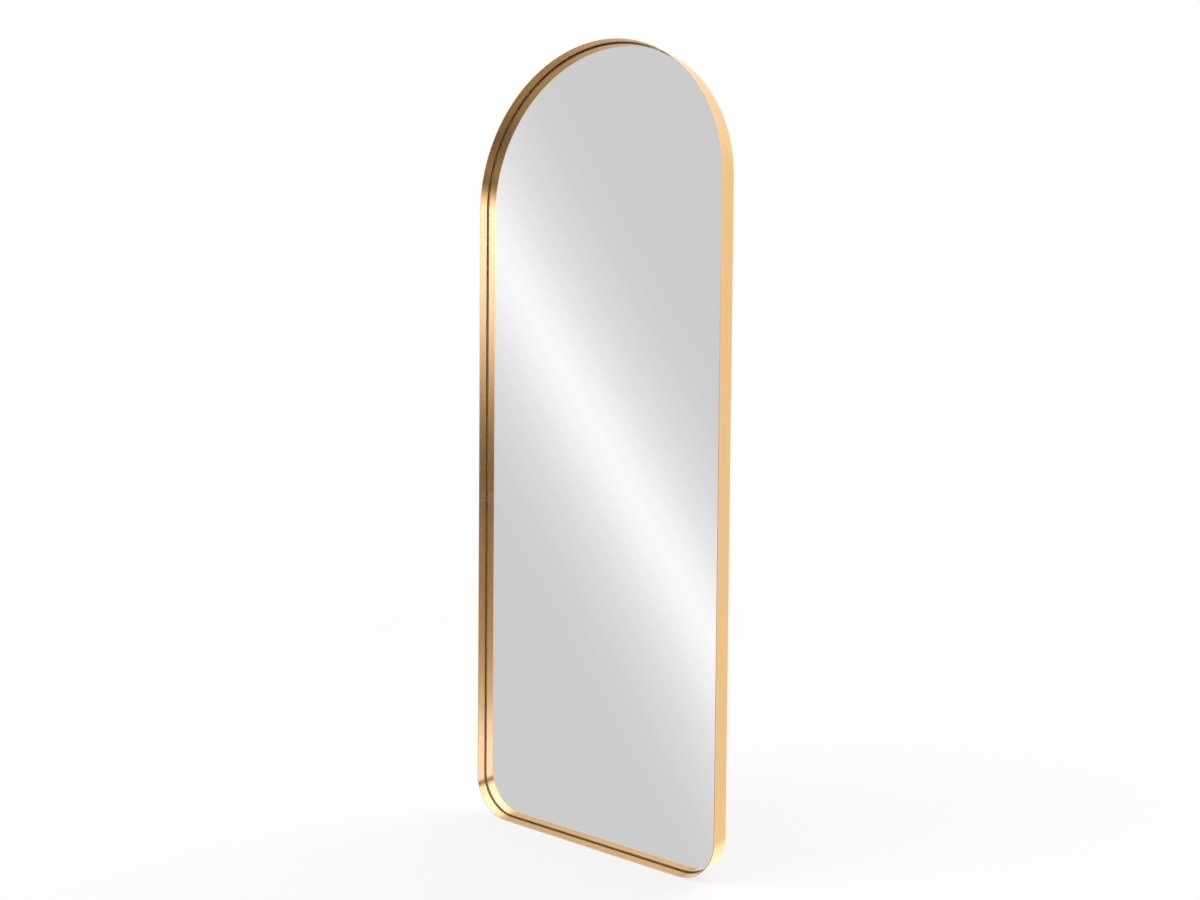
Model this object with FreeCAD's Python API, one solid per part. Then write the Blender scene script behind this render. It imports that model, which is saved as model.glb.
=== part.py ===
"""Arched full-length mirror that stands on the floor and leans on a wall.

Frame of the part: millimetres, +Z up, the mirror faces -Y and +X is to the right
of somebody who looks into it. The origin lies on the floor under the middle.

A deep band of brushed steel is bent round an arch, with its two ends butted on
one side. The pane lies well back in it, with a narrow shadow gap all round. It is
taped to a board, and the board is screwed to tabs welded inside the band. Rubber
pads carry the mirror, rubber bumpers keep it off the wall, and the rings of two
straps take the cords that stop it from falling forwards.
"""
import FreeCAD, Part
import math
import os

# ---- Driving sizes, in millimetres --------------------------------------------
# Outline, seen from the front
width = 612.0
height = 1650.0
corner_radius = 84.0

# Band of the frame
band_depth = 44.0
band_wall = 1.5
band_edge_round = 0.4
joint_height = 710.0
joint_slit = 0.15

# Pane and what lies behind it, from the front to the back
pane_recess = 22.0
pane_thickness = 4.0
pane_bevel = 0.6
shadow_gap = 1.2
film_thickness = 0.2
film_margin = 2.0
tape_thickness = 1.0
tape_width = 30.0
tape_strip_count = 4
tape_margin = 40.0
board_thickness = 9.0

# Spacers in the shadow gap
spacer_length = 60.0
spacer_setback = 3.0
spacer_side_heights = (320.0, 1020.0)
spacer_bottom_spread = 300.0

# Tabs that hold the board
tab_sheet = 1.5
tab_width = 24.0
tab_board_leg = 18.0
tab_band_leg = 6.0
tab_hole_inset = 11.0
side_tab_count = 4
arch_tab_count = 5
bottom_tab_count = 3
tab_end_margin = 60.0
joint_bracket_length = 72.0
joint_bracket_hole_spread = 44.0

# Screws
screw_radius = 1.75
screw_bite = 7.0
screw_point = 2.5
screw_head_radius = 3.4
screw_head_height = 2.1
screw_head_round = 1.2
screw_cross_span = 4.0
screw_cross_width = 0.9
screw_cross_depth = 1.2
screw_hole_clearance = 0.25
screw_pilot_clearance = 0.05
cut_past = 1.0

# Tether straps and rings
ring_wire_radius = 1.3
ring_inside_width = 20.0
ring_inside_drop = 13.0
ring_bend_radius = 2.6
ring_running_clearance = 0.06
strap_sheet = 1.0
strap_width = 12.0
strap_length = 36.0
strap_screw_first = 7.5
strap_screw_pitch = 20.0
strap_ramp = 4.0
strap_drop = 76.0
strap_edge_inset = 44.0

# Rubber parts
pad_thickness = 2.0
pad_length = 50.0
pad_edge_margin = 4.0
pad_corner_round = 5.0
pad_spread = 340.0
bumper_radius = 6.0
bumper_top_radius = 5.0
bumper_proud = 2.0
bumper_round = 0.8
bumper_edge_margin = 2.0
bumper_arch_angle = 9.0
bumper_tab_gap = 30.0

# ---- Places worked out from them ----------------------------------------------
half_width = width / 2
base = pad_thickness
arch_centre = height - half_width
strap_height = arch_centre - strap_drop
straight_low = base + corner_radius + tab_end_margin
straight_high = arch_centre - tab_end_margin
front = -(band_depth + bumper_proud) / 2
back = front + band_depth

pane_front = front + pane_recess
film_front = pane_front + pane_thickness
tape_front = film_front + film_thickness
board_front = tape_front + tape_thickness
board_back = board_front + board_thickness
pane_inset = band_wall + shadow_gap

Y_AXIS = FreeCAD.Vector(0, 1, 0)


def point(x, y, z):
    return FreeCAD.Vector(x, y, z)


def box(x, y, z):
    """A block between three pairs of values."""
    size = [abs(high - low) for low, high in (x, y, z)]
    return Part.makeBox(*size, point(min(x), min(y), min(z)))


def outline(inset, y):
    """The closed arch, this far inside the band's outer face, at this depth."""
    side = half_width - inset
    low = base + inset
    radius = corner_radius - inset
    turn = radius * (1 - math.sqrt(0.5))
    edges = [
        Part.LineSegment(point(radius - side, y, low), point(side - radius, y, low)),
        Part.Arc(point(side - radius, y, low),
                 point(side - turn, y, low + turn),
                 point(side, y, low + radius)),
        Part.LineSegment(point(side, y, low + radius), point(side, y, arch_centre)),
        Part.Arc(point(side, y, arch_centre),
                 point(0, y, arch_centre + side),
                 point(-side, y, arch_centre)),
        Part.LineSegment(point(-side, y, arch_centre), point(-side, y, low + radius)),
        Part.Arc(point(-side, y, low + radius),
                 point(turn - side, y, low + turn),
                 point(radius - side, y, low)),
    ]
    return Part.Wire([edge.toShape() for edge in edges])


def arched_sheet(inset, y, thickness):
    """A flat arched sheet from this depth backwards."""
    return Part.Face(outline(inset, y)).extrude(Y_AXIS * thickness)


def rim_edges(solid, depths):
    """The edges that lie wholly at one of these depths."""
    found = []
    for edge in solid.Edges:
        bounds = edge.BoundBox
        flat = bounds.YLength < 1e-4
        if flat and any(abs(bounds.YMin - depth) < 1e-4 for depth in depths):
            found.append(edge)
    return found


def one(shapes):
    """Several separate solids as one shape."""
    return Part.makeCompound(shapes)


def placed(shape, spot):
    """A piece made at the origin, inwards along +X, set on its spot of the rim."""
    x, z, inwards = spot
    turned = shape.copy()
    turned.rotate(point(0, 0, 0), Y_AXIS, -inwards)
    turned.translate(point(x, 0, z))
    return turned


# ---- Where things sit round the rim --------------------------------------------
def spread(low, high, count):
    """Evenly spaced values, with both ends."""
    return [low + (high - low) * step / (count - 1) for step in range(count)]


def side_spot(side, z, inset):
    """On the left (-1) or right (+1) side: place and the angle that points inwards."""
    return side * (half_width - inset), z, 90.0 + side * 90.0


def arch_spot(angle, inset):
    """On the arch, at an angle up from +X about its centre."""
    reach = half_width - inset
    across = reach * math.cos(math.radians(angle))
    up = arch_centre + reach * math.sin(math.radians(angle))
    return across, up, angle + 180.0


def bottom_spot(x, inset):
    return x, base + inset, 90.0


def seat_on_arch(length):
    """How far a flat piece of this length stands off the band at its middle."""
    inner = half_width - band_wall
    return inner - math.sqrt(inner ** 2 - (length / 2) ** 2)


def tab_spots():
    """Every tab's place on the band's inner face."""
    heights = spread(straight_low, straight_high, side_tab_count)
    spots = [side_spot(side, z, band_wall) for side in (-1, 1) for z in heights]
    arch_inset = band_wall + seat_on_arch(tab_width)
    step = 180.0 / (arch_tab_count + 1)
    spots += [arch_spot(step * (n + 1), arch_inset) for n in range(arch_tab_count)]
    reach = half_width - corner_radius - tab_end_margin
    spots += [bottom_spot(x, band_wall) for x in spread(-reach, reach, bottom_tab_count)]
    return spots


def inwards_of(spot, distance, along=0.0):
    """The point this far inwards from a spot, and this far sideways along the rim."""
    x, z, inwards = spot
    turn = math.radians(inwards)
    across = math.cos(turn) * distance - math.sin(turn) * along
    up = math.sin(turn) * distance + math.cos(turn) * along
    return x + across, z + up


joint_spot = side_spot(-1, joint_height, band_wall)


def tab_screw_points():
    """Where the screws of the tabs and of the joint bracket go into the board."""
    points = [inwards_of(spot, tab_hole_inset) for spot in tab_spots()]
    half = joint_bracket_hole_spread / 2
    points += [inwards_of(joint_spot, tab_hole_inset, along) for along in (-half, half)]
    return points


def strap_x(side):
    return side * (half_width - strap_edge_inset)


def strap_screw_points():
    """Where the screws of the two straps go into the board."""
    heights = [strap_height + strap_screw_first + strap_screw_pitch * n for n in range(2)]
    return [(strap_x(side), z) for side in (-1, 1) for z in heights]


# ---- Screws --------------------------------------------------------------------
def hole(x, z, radius, low, high):
    """A round hole through these depths."""
    return Part.makeCylinder(radius, high - low, point(x, low, z), Y_AXIS)


def screw(x, z, seat):
    """A pan-head screw whose head seats at this depth and whose point is in the board."""
    shank_end = board_back - screw_bite
    shank = hole(x, z, screw_radius, shank_end + screw_point, seat)
    tip = Part.makeCone(0.0, screw_radius, screw_point, point(x, shank_end, z), Y_AXIS)
    head = hole(x, z, screw_head_radius, seat, seat + screw_head_height)
    head = head.makeFillet(screw_head_round, rim_edges(head, [seat + screw_head_height]))
    floor = seat + screw_head_height - screw_cross_depth
    top = seat + screw_head_height + cut_past
    long, short = screw_cross_span / 2, screw_cross_width / 2
    cross = box((x - long, x + long), (floor, top), (z - short, z + short))
    cross = cross.fuse(box((x - short, x + short), (floor, top), (z - long, z + long)))
    return tip.fuse([shank, head]).removeSplitter().cut(cross)


def pilot(x, z):
    """The hole that a screw makes in the board."""
    radius = screw_radius + screw_pilot_clearance
    deep = board_back - screw_bite - screw_pilot_clearance
    return hole(x, z, radius, deep, board_back + cut_past)


# ---- Frame ---------------------------------------------------------------------
def frame_band():
    band = arched_sheet(0, front, band_depth).cut(arched_sheet(band_wall, front, band_depth))
    band = band.makeFillet(band_edge_round, rim_edges(band, [front, back]))
    half = joint_slit / 2
    slit = box((-half_width - cut_past, pane_inset - half_width),
               (front - cut_past, back + cut_past),
               (joint_height - half, joint_height + half))
    return band.cut(slit)


def angle_bracket(length, hole_offsets):
    """A bent sheet with one leg on the band and one behind the board."""
    half = length / 2
    low, high = board_back, board_back + tab_band_leg
    bracket = box((0, tab_board_leg), (low, low + tab_sheet), (-half, half))
    bracket = bracket.fuse(box((0, tab_sheet), (low, high), (-half, half))).removeSplitter()
    radius = screw_radius + screw_hole_clearance
    for along in hole_offsets:
        bracket = bracket.cut(hole(tab_hole_inset, along, radius, low - cut_past, high))
    return bracket


def fixing_tabs():
    tab = angle_bracket(tab_width, [0.0])
    return one([placed(tab, spot) for spot in tab_spots()])


def joint_bracket():
    half = joint_bracket_hole_spread / 2
    return placed(angle_bracket(joint_bracket_length, [-half, half]), joint_spot)


def tab_screws():
    seat = board_back + tab_sheet
    return one([screw(x, z, seat) for x, z in tab_screw_points()])


# ---- Pane, film, tape and board --------------------------------------------------
def mirror_glass():
    pane = arched_sheet(pane_inset, pane_front, pane_thickness)
    return pane.makeChamfer(pane_bevel, rim_edges(pane, [pane_front, film_front]))


def safety_film():
    return arched_sheet(pane_inset + film_margin, film_front, film_thickness)


def mounting_tape():
    reach = half_width - pane_inset - tape_margin - tape_width / 2
    low = base + pane_inset + corner_radius
    strips = []
    for x in spread(-reach, reach, tape_strip_count):
        sides = (x - tape_width / 2, x + tape_width / 2)
        strips.append(box(sides, (tape_front, board_front), (low, arch_centre)))
    return one(strips)


def backing_board():
    board = arched_sheet(pane_inset, board_front, board_thickness)
    points = tab_screw_points() + strap_screw_points()
    return board.cut([pilot(x, z) for x, z in points])


def edge_spacers():
    """Strips that hold the pane and the board clear of the band."""
    depths = (pane_front + spacer_setback, board_back)
    half = spacer_length / 2
    strip = box((0, shadow_gap), depths, (-half, half))
    spots = [side_spot(side, z, band_wall) for side in (-1, 1) for z in spacer_side_heights]
    reach = spacer_bottom_spread / 2
    spots += [bottom_spot(x, band_wall) for x in (-reach, reach)]
    return one([placed(strip, spot) for spot in spots])


# ---- Tether straps and rings -----------------------------------------------------
barrel_inner = ring_wire_radius + ring_running_clearance
barrel_outer = barrel_inner + strap_sheet
ring_axis_y = board_back + barrel_outer


def tether_strap(side):
    """A strip folded in two round the ring's bar and screwed to the board."""
    x = strap_x(side) - strap_width / 2
    low, top = strap_height, strap_height + strap_length
    folded = board_back + 2 * strap_sheet
    barrel = Part.makeCylinder(barrel_outer, strap_width,
                               point(x, ring_axis_y, low), point(1, 0, 0))
    leg = box((x, x + strap_width), (board_back, folded), (low, top))
    rounding = [edge for edge in leg.Edges
                if edge.BoundBox.YLength > strap_sheet and edge.BoundBox.ZMin > low + strap_ramp]
    leg = leg.makeFillet(strap_width / 2 - 0.01, rounding)
    ramp = Part.makePolygon([
        point(x, board_back, low),
        point(x, ring_axis_y + barrel_outer, low),
        point(x, folded, low + strap_ramp),
        point(x, board_back, low + strap_ramp),
        point(x, board_back, low),
    ])
    ramp = Part.Face(ramp).extrude(point(strap_width, 0, 0))
    strap = barrel.fuse([leg, ramp]).removeSplitter()
    bore = Part.makeCylinder(barrel_inner, strap_width,
                             point(x, ring_axis_y, low), point(1, 0, 0))
    strap = strap.cut(bore)
    radius = screw_radius + screw_hole_clearance
    for hole_x, hole_z in strap_screw_points():
        strap = strap.cut(hole(hole_x, hole_z, radius, board_back - cut_past, folded + cut_past))
    return strap


def tether_ring(side):
    """A D of round wire that hangs from its straight bar."""
    x, y, z = strap_x(side), ring_axis_y, strap_height
    half = ring_inside_width / 2 + ring_wire_radius
    drop = ring_inside_drop + 2 * ring_wire_radius
    bend = ring_bend_radius
    turn = bend * (1 - math.sqrt(0.5))
    path = [
        Part.LineSegment(point(x, y, z), point(x + half - bend, y, z)),
        Part.Arc(point(x + half - bend, y, z),
                 point(x + half - turn, y, z - turn),
                 point(x + half, y, z - bend)),
        Part.LineSegment(point(x + half, y, z - bend), point(x + half, y, z - drop + half)),
        Part.Arc(point(x + half, y, z - drop + half),
                 point(x, y, z - drop),
                 point(x - half, y, z - drop + half)),
        Part.LineSegment(point(x - half, y, z - drop + half), point(x - half, y, z - bend)),
        Part.Arc(point(x - half, y, z - bend),
                 point(x - half + turn, y, z - turn),
                 point(x - half + bend, y, z)),
        Part.LineSegment(point(x - half + bend, y, z), point(x, y, z)),
    ]
    wire = Part.Wire([edge.toShape() for edge in path])
    section = Part.Wire([Part.makeCircle(ring_wire_radius, point(x, y, z), point(1, 0, 0))])
    return wire.makePipeShell([section], True, False)


def strap_screws():
    seat = board_back + 2 * strap_sheet
    return one([screw(x, z, seat) for x, z in strap_screw_points()])


# ---- Rubber parts ----------------------------------------------------------------
def floor_pads():
    depths = (front + pad_edge_margin, back - pad_edge_margin)
    pads = []
    for side in (-1, 1):
        x = side * pad_spread / 2
        pad = box((x - pad_length / 2, x + pad_length / 2), depths, (0, base))
        upright = [edge for edge in pad.Edges if edge.BoundBox.ZLength > base / 2]
        pads.append(pad.makeFillet(pad_corner_round, upright))
    return one(pads)


def bumper_spots():
    inset = pane_inset + bumper_edge_margin + bumper_radius
    arch = [arch_spot(90.0 + lean, inset) for lean in (bumper_arch_angle, -bumper_arch_angle)]
    above_tab = straight_low + tab_width / 2 + bumper_tab_gap + bumper_radius
    low = [side_spot(side, above_tab, inset) for side in (-1, 1)]
    return arch + low


def wall_bumpers():
    tip = back + bumper_proud
    bumpers = []
    for x, z, _ in bumper_spots():
        bumper = Part.makeCone(bumper_radius, bumper_top_radius, tip - board_back,
                               point(x, board_back, z), Y_AXIS)
        bumpers.append(bumper.makeFillet(bumper_round, rim_edges(bumper, [tip])))
    return one(bumpers)


PARTS = {
    "frame_band": frame_band(),
    "joint_bracket": joint_bracket(),
    "fixing_tabs": fixing_tabs(),
    "tab_screws": tab_screws(),
    "mirror_glass": mirror_glass(),
    "safety_film": safety_film(),
    "mounting_tape": mounting_tape(),
    "edge_spacers": edge_spacers(),
    "backing_board": backing_board(),
    "tether_strap_left": tether_strap(-1),
    "tether_strap_right": tether_strap(1),
    "tether_ring_left": tether_ring(-1),
    "tether_ring_right": tether_ring(1),
    "strap_screws": strap_screws(),
    "floor_pads": floor_pads(),
    "wall_bumpers": wall_bumpers(),
}

os.makedirs("parts", exist_ok=True)
for name, shape in PARTS.items():
    shape.exportStep("parts/" + name + ".step")
    print(name, len(shape.Solids), "solids", round(shape.Volume, 1), "mm3", shape.isValid())
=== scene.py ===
"""Arched leaning mirror: finishes, small hardware, studio and camera, in metres."""
import math

import bmesh
import bpy
from mathutils import Matrix, Vector


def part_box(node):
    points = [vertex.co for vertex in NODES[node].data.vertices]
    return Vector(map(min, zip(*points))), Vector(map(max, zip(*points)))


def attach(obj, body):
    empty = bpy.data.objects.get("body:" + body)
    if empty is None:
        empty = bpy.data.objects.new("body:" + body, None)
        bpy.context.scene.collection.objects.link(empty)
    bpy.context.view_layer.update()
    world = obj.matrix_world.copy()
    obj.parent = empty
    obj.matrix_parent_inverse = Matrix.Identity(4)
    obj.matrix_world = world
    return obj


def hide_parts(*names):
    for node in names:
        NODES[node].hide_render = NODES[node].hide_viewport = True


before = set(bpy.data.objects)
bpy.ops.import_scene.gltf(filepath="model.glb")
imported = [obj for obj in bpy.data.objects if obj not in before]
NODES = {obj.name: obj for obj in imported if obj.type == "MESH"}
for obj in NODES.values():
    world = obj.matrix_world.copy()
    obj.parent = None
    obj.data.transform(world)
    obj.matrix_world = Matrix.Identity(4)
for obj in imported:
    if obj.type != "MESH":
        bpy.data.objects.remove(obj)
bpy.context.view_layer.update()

MM = 0.001

# ---- Sizes of the mirror -------------------------------------------------------
BAND_LOW, BAND_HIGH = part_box("frame_band")
PANE_LOW, PANE_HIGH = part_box("mirror_glass")
HALF_WIDTH = BAND_HIGH.x
BASE = BAND_LOW.z
ARCH_CENTRE = BAND_HIGH.z - HALF_WIDTH
CORNER_RADIUS = 84 * MM
BAND_WALL = 1.5 * MM
BAND_EDGE_ROUND = 0.4 * MM
JOINT_HEIGHT = 710 * MM
JOINT_SLIT = 0.15 * MM
DRESSED_REACH = 15 * MM
PANE_INSET = HALF_WIDTH - PANE_HIGH.x
PANE_ARRIS = 0.6 * MM
SILVER_DEPTH = 0.02 * MM
BOARD_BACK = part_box("backing_board")[1].y
JOINT_SCREW_REACH = 36 * MM
TAB_HOLE_INSET = 11 * MM
TAB_SIZES = {"Length": 24 * MM, "Sheet": 1.5 * MM, "Board Leg": 18 * MM, "Band Leg": 6 * MM,
             "Bend Radius": 1 * MM, "Corner Radius": 3.5 * MM}
JOINT_BRACKET_LENGTH = 72 * MM
WELD_SIZES = {"Span": 17 * MM, "Bead Radius": 0.95 * MM, "Bead Pitch": 1.3 * MM,
              "Band Leg": 6 * MM}
WELD_RIPPLE = 0.25
WELD_TAPER, WELD_TAPER_POWER = 1.98, 8.0
BRACKET_WELD_OFFSET = 22 * MM
SCREW_SIZES = {"Head Radius": 3.4 * MM, "Head Height": 2.1 * MM, "Head Round": 1.2 * MM,
               "Cross Span": 4 * MM, "Cross Width": 0.9 * MM, "Cross Depth": 1.2 * MM,
               "Shank Radius": 1.75 * MM, "Point Length": 2.5 * MM}
CROSS_TAPER = 0.28
SCREW_TURN_SEED = 7
BUMPER_SIZES = {"Radius": 6 * MM, "Top Radius": 5 * MM, "Rounding": 0.8 * MM}
RING_WIRE = 1.3 * MM
RING_INSIDE_WIDTH, RING_INSIDE_DROP, RING_BEND = 20 * MM, 13 * MM, 2.6 * MM
STRAP_SHEET, STRAP_RAMP = 1 * MM, 4 * MM
STRAP_FOLD = 230
STRAP_TIP = 0.05

# ---- How finely the meshes are cut ---------------------------------------------
ARCH_STEPS, CORNER_STEPS, EDGE_STEPS = 144, 28, 4
LATHE_SIDES, LATHE_RINGS = 36, 9
SHANK_SIDES = 20
TAB_STEPS, TAB_ROWS = 34, 5
BEAD_SIDES, BEAD_STEPS = 12, 56
WIRE_SIDES, RING_BEND_STEPS, RING_ARCH_STEPS = 20, 8, 32
STRAP_STEP = 10
MERGE_DISTANCE = 0.01 * MM
CREASE, STRAP_CREASE = math.radians(32), math.radians(35)

# ---- The photograph's camera ---------------------------------------------------
IMAGE_WIDTH = 1200
FOCAL_PIXELS = 1016.6
CAMERA_PLACE = Vector((1.2595, -1.6774, 0.8934))
CAMERA_YAW, CAMERA_PITCH, CAMERA_ROLL = -36.628, -1.893, 0.479
SENSOR = 36.0


# ---- Small helpers -------------------------------------------------------------
def new_piece(name, mesh):
    piece = bpy.data.objects.new(name, mesh)
    bpy.context.scene.collection.objects.link(piece)
    return piece


def belongs(piece, body, slot, *nodes):
    """Rides on a body and may stand for CAD nodes, which it hides; its slot is not used."""
    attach(piece, body)
    if nodes:
        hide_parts(*nodes)
    return piece


def smooth(mesh):
    """Shades every face smooth."""
    for face in mesh.polygons:
        face.use_smooth = True


def maths(tree, operation, first, second=None, third=None):
    """A Math node on sockets or numbers."""
    node = tree.nodes.new("ShaderNodeMath")
    node.operation = operation
    for n, value in enumerate((first, second, third)):
        if value is None:
            continue
        if isinstance(value, (int, float)):
            node.inputs[n].default_value = value
        else:
            tree.links.new(value, node.inputs[n])
    return node.outputs["Value"]


def rim_samples(inset):
    """Points round the arched outline, clockwise from the joint on the left.

    Each is (x, z, outward x, outward z, length along the outer face)."""
    side = HALF_WIDTH - inset
    radius = CORNER_RADIUS - inset
    centre_x, low = HALF_WIDTH - CORNER_RADIUS, BASE + CORNER_RADIUS
    samples, length = [], 0.0

    def add(x, z, nx, nz, run):
        nonlocal length
        length += run
        samples.append((x, z, nx, nz, length))

    def arc(cx, cz, reach, outer_reach, start, end, steps):
        step = (end - start) / steps
        for n in range(1, steps + 1):
            angle = math.radians(start + step * n)
            nx, nz = math.cos(angle), math.sin(angle)
            add(cx + reach * nx, cz + reach * nz, nx, nz, abs(math.radians(step)) * outer_reach)

    add(-side, JOINT_HEIGHT + JOINT_SLIT / 2, -1.0, 0.0, 0.0)
    add(-side, ARCH_CENTRE, -1.0, 0.0, ARCH_CENTRE - JOINT_HEIGHT)
    arc(0.0, ARCH_CENTRE, side, HALF_WIDTH, 180.0, 0.0, ARCH_STEPS)
    add(side, low, 1.0, 0.0, ARCH_CENTRE - low)
    arc(centre_x, low, radius, CORNER_RADIUS, 0.0, -90.0, CORNER_STEPS)
    add(-centre_x, BASE + inset, 0.0, -1.0, 2 * centre_x)
    arc(-centre_x, low, radius, CORNER_RADIUS, -90.0, -180.0, CORNER_STEPS)
    add(-side, JOINT_HEIGHT - JOINT_SLIT / 2, -1.0, 0.0, JOINT_HEIGHT - low)
    return samples


# ---- Frame band ----------------------------------------------------------------
def band_profile():
    """The band's cross-section: (outwards, depth, outward normal, depth normal)."""
    front, back = BAND_LOW.y, BAND_HIGH.y
    radius = BAND_EDGE_ROUND
    corners = [
        (-radius, front + radius, 0.0, -90.0),
        (radius - BAND_WALL, front + radius, -90.0, -180.0),
        (radius - BAND_WALL, back - radius, -180.0, -270.0),
        (-radius, back - radius, -270.0, -360.0),
    ]
    points = []
    for out, depth, start, end in corners:
        for n in range(EDGE_STEPS + 1):
            angle = math.radians(start + (end - start) * n / EDGE_STEPS)
            nx, ny = math.cos(angle), math.sin(angle)
            points.append((out + radius * nx, depth + radius * ny, nx, ny))
    return points


def make_band(material):
    """The bent band, with a map that follows its length and its width."""
    rim, profile = rim_samples(0.0), band_profile()
    count = len(profile)
    verts, normals = [], []
    for x, z, nx, nz, _ in rim:
        for out, depth, out_n, depth_n in profile:
            verts.append((x + nx * out, depth, z + nz * out))
            normals.append(Vector((nx * out_n, depth_n, nz * out_n)).normalized())
    across = [0.0]
    for n in range(count):
        here, there = profile[n], profile[(n + 1) % count]
        across.append(across[-1] + math.hypot(there[0] - here[0], there[1] - here[1]))
    faces, uvs, loop_normals = [], [], []
    for i in range(len(rim) - 1):
        for j in range(count):
            k = (j + 1) % count
            corner = (i * count + j, i * count + k, (i + 1) * count + k, (i + 1) * count + j)
            faces.append(corner)
            loop_normals += [normals[v] for v in corner]
            near, far = rim[i][4], rim[i + 1][4]
            uvs += [(near, across[j]), (near, across[j + 1]),
                    (far, across[j + 1]), (far, across[j])]
    for ring, up in ((list(range(count)), -1.0),
                     ([(len(rim) - 1) * count + j for j in reversed(range(count))], 1.0)):
        faces.append(tuple(ring))
        loop_normals += [Vector((0.0, 0.0, up))] * count
        uvs += [(0.0, 0.0)] * count
    mesh = bpy.data.meshes.new("band")
    mesh.from_pydata(verts, [], faces)
    smooth(mesh)
    layer = mesh.uv_layers.new(name="along_band")
    for loop, uv in zip(layer.data, uvs):
        loop.uv = uv
    last_ring = (len(rim) - 1) * count
    for edge in mesh.edges:
        low, high = sorted(edge.vertices)
        edge.use_edge_sharp = high < count or low >= last_ring
    mesh.normals_split_custom_set(loop_normals)
    mesh.materials.append(material)
    return belongs(new_piece("band", mesh), "mirror", "brushed_gold", "frame_band")


# ---- Mirror pane ---------------------------------------------------------------
def ring_of(inset, depth):
    """The outline drawn inwards, as a flat ring at one depth."""
    return [(x, depth, z) for x, z, *_ in rim_samples(inset)]


def make_pane(glass, ground_edge):
    """The glass, with a ground edge and a small arris at the front and the back."""
    front, back = PANE_LOW.y, PANE_HIGH.y
    rings = [
        ring_of(PANE_INSET + PANE_ARRIS, front),
        ring_of(PANE_INSET, front + PANE_ARRIS),
        ring_of(PANE_INSET, back - PANE_ARRIS),
        ring_of(PANE_INSET + PANE_ARRIS, back),
    ]
    count = len(rings[0])
    verts = [v for ring in rings for v in ring]
    faces = [tuple(reversed(range(count))), tuple(range(3 * count, 4 * count))]
    for i in range(3):
        for j in range(count):
            k = (j + 1) % count
            faces.append((i * count + j, i * count + k, (i + 1) * count + k, (i + 1) * count + j))
    mesh = bpy.data.meshes.new("pane")
    mesh.from_pydata(verts, [], faces)
    for material in (glass, ground_edge):
        mesh.materials.append(material)
    for face in mesh.polygons[2:]:
        face.material_index = 1
    return belongs(new_piece("pane", mesh), "mirror", "mirror_pane", "mirror_glass")


def make_silvering(material):
    """The silver coat on the back of the pane, one sheet just inside the glass."""
    depth = PANE_HIGH.y - SILVER_DEPTH
    ring = ring_of(PANE_INSET + PANE_ARRIS, depth)
    mesh = bpy.data.meshes.new("silvering")
    mesh.from_pydata(ring, [], [tuple(reversed(range(len(ring))))])
    mesh.materials.append(material)
    return belongs(new_piece("silvering", mesh), "mirror", "mirror_pane")


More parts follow.
